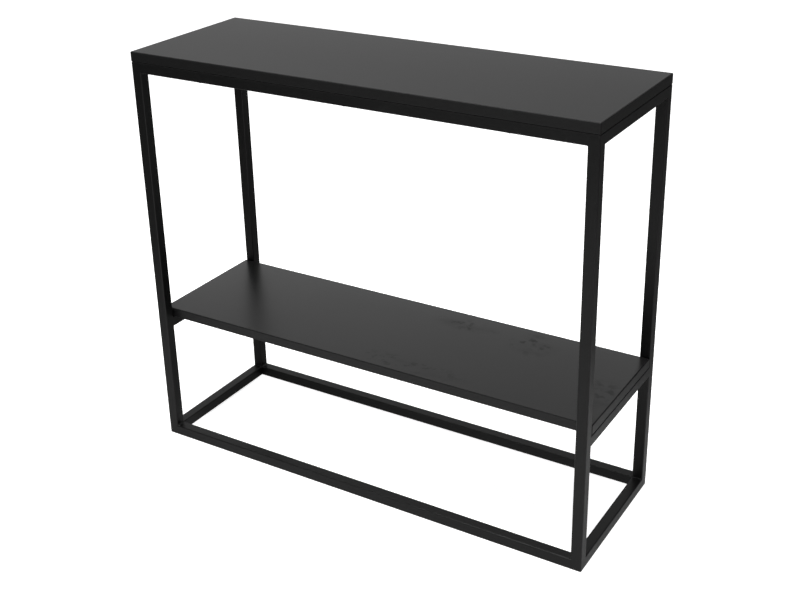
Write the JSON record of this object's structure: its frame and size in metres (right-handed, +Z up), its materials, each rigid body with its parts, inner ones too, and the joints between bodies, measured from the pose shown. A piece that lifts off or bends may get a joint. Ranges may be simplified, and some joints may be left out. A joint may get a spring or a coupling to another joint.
{
  "type": "console table",
  "caption": "Open two-tier console table: a welded black square-tube frame with a flush laminated top board and a low laminated shelf board on two end rails.",
  "frame": {"origin": "on the floor, under the middle of the table", "axes": "+X along the length to the table's right as seen from the front, the front faces -Y, +Z up"},
  "size_m": [0.9, 0.3, 0.79],
  "materials": {
    "frame_powder_coat": "fine satin black powder coat",
    "board_laminate": "matt black melamine-faced board",
    "edge_band": "matt black ABS edge band",
    "screw_steel": "black oxide"
  },
  "bodies": {
    "root": {"base_rail_front": "frame_powder_coat", "base_rail_left": "frame_powder_coat", "base_rail_rear": "frame_powder_coat", "base_rail_right": "frame_powder_coat", "base_rail_welds": "frame_powder_coat", "leg_front_left": "frame_powder_coat", "leg_front_right": "frame_powder_coat", "leg_rear_left": "frame_powder_coat", "leg_rear_right": "frame_powder_coat", "shelf_board_band_front": "edge_band", "shelf_board_band_left": "edge_band", "shelf_board_band_rear": "edge_band", "shelf_board_band_right": "edge_band", "shelf_board_core": "board_laminate", "shelf_board_screws": "screw_steel", "shelf_rail_left": "frame_powder_coat", "shelf_rail_right": "frame_powder_coat", "shelf_rail_welds": "frame_powder_coat", "top_board_band_front": "edge_band", "top_board_band_left": "edge_band", "top_board_band_rear": "edge_band", "top_board_band_right": "edge_band", "top_board_core": "board_laminate", "top_board_screws": "screw_steel", "top_rail_front": "frame_powder_coat", "top_rail_left": "frame_powder_coat", "top_rail_rear": "frame_powder_coat", "top_rail_right": "frame_powder_coat", "top_rail_welds": "frame_powder_coat"}
  },
  "joints": []
}
